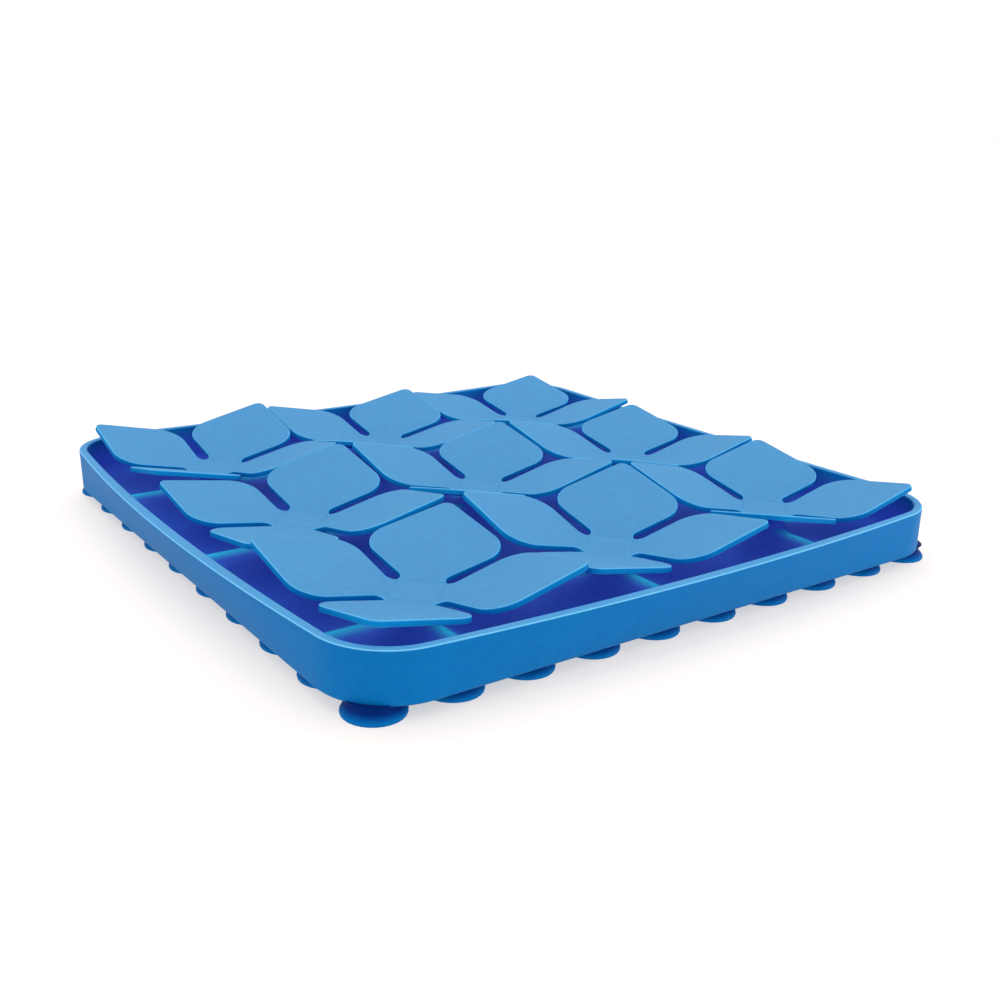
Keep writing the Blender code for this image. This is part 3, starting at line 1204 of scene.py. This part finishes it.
        # Down the inner wall the painted shade grows over hollow_depth, and the foot and the floor are in
        # full painted shade.
        for inset, height in [*inner_rim, *line_points(inner_rim[-1], foot[0], self.inside_steps)[1:-1]]:
            depth = (self.rim - self.rim_inner_round - height) / self.hollow_depth
            profile.append(WallPoint(inset, height, deep=min(max(depth, 0.0), 1.0)))
        for step, (inset, height) in enumerate(foot):
            profile.append(WallPoint(inset, height, deep=1.0, on_floor=step / steps))
        profile.append(WallPoint(foot[-1][0] + self.floor_overlap, self.floor, deep=1.0, on_floor=1.0))
        return profile

    def build_mesh(self) -> bpy.types.Mesh:
        """Build the tray with a level floor.

        Returns:
            The closed mesh, with attributes for its painted shade, for what is on the floor and for the
            painted highlight along the rim's edge.
        """
        mesh = bmesh.new()
        deep, floor_share, edge = add_layers(mesh, SHADE, FLOOR_SHARE, EDGE_HIGHLIGHT)
        lines = self.measuring_lines()
        rings = []
        for wall in self.wall_profile():
            ring = [mesh.verts.new(point) for point in self.ring(wall.inset, wall.height, lines)]
            for corner in ring:
                corner[deep] = wall.deep
                corner[floor_share] = wall.on_floor
                corner[edge] = wall.pale
            rings.append(ring)
        # The floor is in full painted shade.
        grid = [[mesh.verts.new((x, y, self.floor)) for y in lines] for x in lines]
        for column in grid:
            for corner in column:
                corner[deep] = 1.0
                corner[floor_share] = 1.0
        add_cells(mesh, grid)
        last = len(lines) - 1
        border = square_ring(grid, 0, last)
        loft(mesh, [*rings, border[last:] + border[:last]])
        mesh.faces.new(list(reversed(rings[0])))
        return finish_mesh("level_tray", mesh)

    def build_relief_tree(self) -> GeometryTree:
        """Build the tree that raises the floor's ribs and pads, with a painted highlight on the ribs'
        crests.

        Ribs run both ways through the middle of every flower, and a round pad lies under each stem.

        Returns:
            The tree.
        """
        sizes = ("Flower Pitch", "Rib Height", "Rib Half Width", "Pad Height", "Pad Radius", "Pad Blend")
        tree = GeometryTree("raise_ribs", sizes)
        given = tree.inputs
        place = tree.split(tree.node("GeometryNodeInputPosition").outputs[0])
        pitch = given["Flower Pitch"]

        def from_nearest(value: Socket) -> Socket:
            """Return the distance from the nearest flower's middle along one axis."""
            nearest = tree.math("ROUND", tree.math("DIVIDE", value, pitch))
            return tree.math("SUBTRACT", value, tree.math("MULTIPLY", nearest, pitch))

        def crest(value: Socket) -> Socket:
            """Work out a rib's height.

            Args:
                value: The distance from its middle line.

            Returns:
                The height's socket.
            """
            share = tree.math("DIVIDE", tree.math("ABSOLUTE", value), given["Rib Half Width"])
            held = tree.math("MINIMUM", share, 1.0)
            wave = tree.math("COSINE", tree.math("MULTIPLY", held, math.pi))
            return tree.math("MULTIPLY", tree.math("MULTIPLY_ADD", wave, 0.5, 0.5), given["Rib Height"])

        x, y = from_nearest(place[0]), from_nearest(place[1])
        ribs = tree.math("SMOOTH_MAX", crest(x), crest(y), self.rib_blend)
        ribs = tree.math("MINIMUM", ribs, given["Rib Height"])
        away = tree.math("SQRT", tree.math("ADD", tree.math("POWER", x, 2.0), tree.math("POWER", y, 2.0)))
        blend_end = tree.math("ADD", given["Pad Radius"], given["Pad Blend"])
        pad_share = tree.math("SUBTRACT", 1.0, tree.ramp(away, given["Pad Radius"], blend_end))
        pad = tree.math("MULTIPLY", pad_share, given["Pad Height"])
        raised = tree.math("MAXIMUM", ribs, pad)
        on_floor = self.read_attribute(tree, FLOOR_SHARE)
        offset = tree.join(0.0, 0.0, tree.math("MULTIPLY", raised, on_floor))
        lifted = {"Geometry": given["Geometry"], "Offset": offset}
        geometry = tree.fed("GeometryNodeSetPosition", lifted).outputs["Geometry"]
        # The ribs' crests get a painted highlight.
        share = tree.math("DIVIDE", ribs, given["Rib Height"], clamp=True)
        crest_highlight = tree.math("MULTIPLY", tree.math("POWER", share, self.crest_highlight_power), on_floor)
        off_crest_highlight = tree.math("SUBTRACT", 1.0, crest_highlight)
        # Painted shade on the floor, taken off where the painted highlight lies on the ribs' crests.
        deep = tree.math("MULTIPLY", self.read_attribute(tree, SHADE), off_crest_highlight)
        for name, value in ((CREST_HIGHLIGHT, crest_highlight), (SHADE, deep)):
            store = tree.fed(
                "GeometryNodeStoreNamedAttribute",
                {"Name": name, "Geometry": geometry, "Value": value},
                data_type="FLOAT",
                domain="POINT",
            )
            geometry = store.outputs["Geometry"]
        tree.finish(geometry)
        return tree

    @staticmethod
    def read_attribute(tree: GeometryTree, name: str) -> Socket:
        """Return a socket with a number stored on the mesh."""
        named = tree.fed("GeometryNodeInputNamedAttribute", {"Name": name}, data_type="FLOAT")
        return named.outputs["Attribute"]

    def build(self, skin: bpy.types.NodeTree) -> None:
        """Build, dress and place the tray.

        Args:
            skin: The shared moulded skin group.
        """
        values = {
            "Flower Pitch": FLOWER_PITCH,
            "Rib Height": self.rib_height,
            "Rib Half Width": self.rib_half_width,
            "Pad Height": self.pad_height,
            "Pad Radius": self.pad_radius,
            "Pad Blend": self.pad_blend,
            "Place": MIDDLE,
            "Material": self.finish.build(skin),
        }
        piece = self.build_relief_tree().apply("tray_shell", self.build_mesh(), values)
        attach(piece, ROOT_BODY)
        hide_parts("tray")
        LOG.info("%s: %d faces", piece.name, len(piece.data.polygons))


@dataclass
class SuctionCups:
    """The grid of suction cups under the tray, each a thin bell turned from one profile."""

    finish: SiliconeFinish = SHADED_CUP_FINISH
    pitch: float = 25.0 * MM
    per_side: int = 10
    segments: int = 28
    lip_top: float = 1.9 * MM
    shade_length: float = 0.9 * MM
    profile: tuple[Point2, ...] = (
        (0.0, 5.15 * MM),
        (8.4 * MM, 5.15 * MM),
        (7.9 * MM, 4.8 * MM),
        (7.5 * MM, 4.3 * MM),
        (7.4 * MM, 3.6 * MM),
        (7.6 * MM, 3.0 * MM),
        (8.1 * MM, 2.3 * MM),
        (8.9 * MM, 1.5 * MM),
        (9.3 * MM, 0.9 * MM),
        (9.35 * MM, 0.4 * MM),
        (9.2 * MM, 0.0),
        (8.8 * MM, 0.1 * MM),
        (7.2 * MM, 1.3 * MM),
        (5.4 * MM, 2.5 * MM),
        (2.8 * MM, 3.3 * MM),
        (0.0, 3.5 * MM),
    )

    def build_cup(self) -> bpy.types.Mesh:
        """Turn one cup.  Its neck is marked for painted shade and its lip for a painted highlight.

        Returns:
            The closed mesh of a cup at the origin.
        """
        mesh = bmesh.new()
        deep, edge = add_layers(mesh, SHADE, EDGE_HIGHLIGHT)
        corners = [mesh.verts.new((radius, 0.0, height)) for radius, height in self.profile]
        # Painted shade on the neck under the tray, and a painted highlight on the lip.
        for corner in corners:
            corner[deep] = min(max((corner.co.z - self.lip_top) / self.shade_length, 0.0), 1.0)
            corner[edge] = min(max((self.lip_top - corner.co.z) / self.shade_length, 0.0), 1.0)
        edges = [mesh.edges.new(pair) for pair in zip(corners, corners[1:])]
        bmesh.ops.spin(
            mesh,
            geom=[*corners, *edges],
            cent=(0.0, 0.0, 0.0),
            axis=(0.0, 0.0, 1.0),
            angle=math.tau,
            steps=self.segments,
            use_merge=True,
        )
        return finish_mesh("suction_cup", mesh)

    def build_tree(self) -> GeometryTree:
        """Build the tree that sets cups out on a square grid.

        Returns:
            The tree.
        """
        tree = GeometryTree("set_out_cups", ("Cup Pitch", "Cups per Side"))
        given = tree.inputs
        count = given["Cups per Side"]
        width = tree.math("MULTIPLY", tree.math("SUBTRACT", count, 1.0), given["Cup Pitch"])
        sizes = {"Size X": width, "Size Y": width, "Vertices X": count, "Vertices Y": count}
        grid = tree.fed("GeometryNodeMeshGrid", sizes)
        places = {"Points": grid.outputs["Mesh"], "Instance": given["Geometry"]}
        tree.finish(tree.fed("GeometryNodeInstanceOnPoints", places).outputs["Instances"])
        return tree

    def build(self, skin: bpy.types.NodeTree) -> None:
        """Build, dress and place the cups.

        Args:
            skin: The shared moulded skin group.
        """
        values = {
            "Cup Pitch": self.pitch,
            "Cups per Side": float(self.per_side),
            "Place": MIDDLE,
            "Material": self.finish.build(skin),
        }
        piece = self.build_tree().apply("suction_cups", self.build_cup(), values)
        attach(piece, ROOT_BODY)
        LOG.info("%s: %d faces", piece.name, len(piece.data.polygons))


# Studio


@dataclass(frozen=True)
class SoftLight:
    """A soft rectangular light.

    Attributes:
        name: Its name.
        place: Where it stands.
        target: What it points at.
        size: Its width and height.
        power: Its power in watts.
    """

    name: str
    place: tuple[float, float, float]
    target: tuple[float, float, float]
    size: tuple[float, float]
    power: float


@dataclass
class Studio:
    """A plain pale floor, soft light all round and a camera."""

    camera_place: tuple[float, float, float] = (-0.24496, -0.34646, 0.14853)
    azimuth: float = -2.1852
    elevation: float = 0.3150
    roll: float = 0.0237
    lens: float = 41.05
    shift_x: float = 0.024
    shift_y: float = -0.0006
    sky_strength: float = 1.0
    floor_half_width: float = 30.0
    floor_colour: RGB = (0.53, 0.47, 0.43)
    floor_roughness: float = 0.8
    floor_specular: float = 0.1
    floor_glow: float = 0.53
    lights: tuple[SoftLight, ...] = (
        SoftLight("overhead", (0.0, 0.25, 1.1), (0.0, 0.0, 0.0), (1.2, 1.0), 3.0),
        SoftLight("side", (0.55, -0.45, 0.12), (0.125, -0.125, 0.01), (0.3, 0.2), 0.8),
    )

    def place_camera(self) -> None:
        """Create the scene's camera and aim it."""
        forwards = Vector(
            (
                -math.cos(self.azimuth) * math.cos(self.elevation),
                -math.sin(self.azimuth) * math.cos(self.elevation),
                -math.sin(self.elevation),
            )
        )
        right = forwards.cross(Vector((0.0, 0.0, 1.0))).normalized()
        up = right.cross(forwards)
        turned_right = math.cos(self.roll) * right + math.sin(self.roll) * up
        turned_up = -math.sin(self.roll) * right + math.cos(self.roll) * up
        turn = Matrix((turned_right, turned_up, -forwards)).transposed().to_4x4()
        data = bpy.data.cameras.new("camera")
        data.lens = self.lens
        data.shift_x = self.shift_x
        data.shift_y = self.shift_y
        data.clip_start = 0.01
        camera = add_object("camera", data)
        camera.matrix_world = Matrix.Translation(self.camera_place) @ turn
        bpy.context.scene.camera = camera

    def lay_floor(self) -> None:
        """Lay the pale floor that the mat stands on."""
        mesh = bmesh.new()
        bmesh.ops.create_grid(mesh, x_segments=1, y_segments=1, size=self.floor_half_width)
        data = bpy.data.meshes.new("studio_floor")
        mesh.to_mesh(data)
        mesh.free()
        material = bpy.data.materials.new("pale_floor")
        material.use_nodes = True
        surface = {
            "Base Color": self.floor_colour,
            "Roughness": self.floor_roughness,
            "Specular IOR Level": self.floor_specular,
            "Emission Color": WHITE,
            "Emission Strength": self.floor_glow,
        }
        NodeBoard(material.node_tree).feed_all(material.node_tree.nodes["Principled BSDF"], surface)
        data.materials.append(material)
        floor = add_object("studio_floor", data)

    def light(self) -> None:
        """Set the sky and the soft lights."""
        world = bpy.data.worlds.new("studio_sky")
        world.use_nodes = True
        sky = {"Color": WHITE, "Strength": self.sky_strength}
        NodeBoard(world.node_tree).feed_all(world.node_tree.nodes["Background"], sky)
        bpy.context.scene.world = world
        for soft in self.lights:
            data = bpy.data.lights.new(soft.name, "AREA")
            data.shape = "RECTANGLE"
            data.size, data.size_y = soft.size
            data.energy = soft.power
            lamp = add_object(soft.name, data)
            aim = (Vector(soft.target) - Vector(soft.place)).to_track_quat("-Z", "Y")
            lamp.matrix_world = Matrix.Translation(soft.place) @ aim.to_matrix().to_4x4()

    def build(self) -> None:
        """Set up camera, floor and light."""
        self.place_camera()
        self.lay_floor()
        self.light()
        bpy.context.scene.view_settings.view_transform = "Standard"


def main() -> None:
    """Build the mat and its studio."""
    logging.basicConfig(level=logging.INFO, format="%(name)s: %(message)s")
    skin = build_skin_group()
    Studio().build()
    Tray().build(skin)
    SuctionCups().build(skin)
    PetalFlowers().build(skin)


if __name__ == "__main__":
    main()
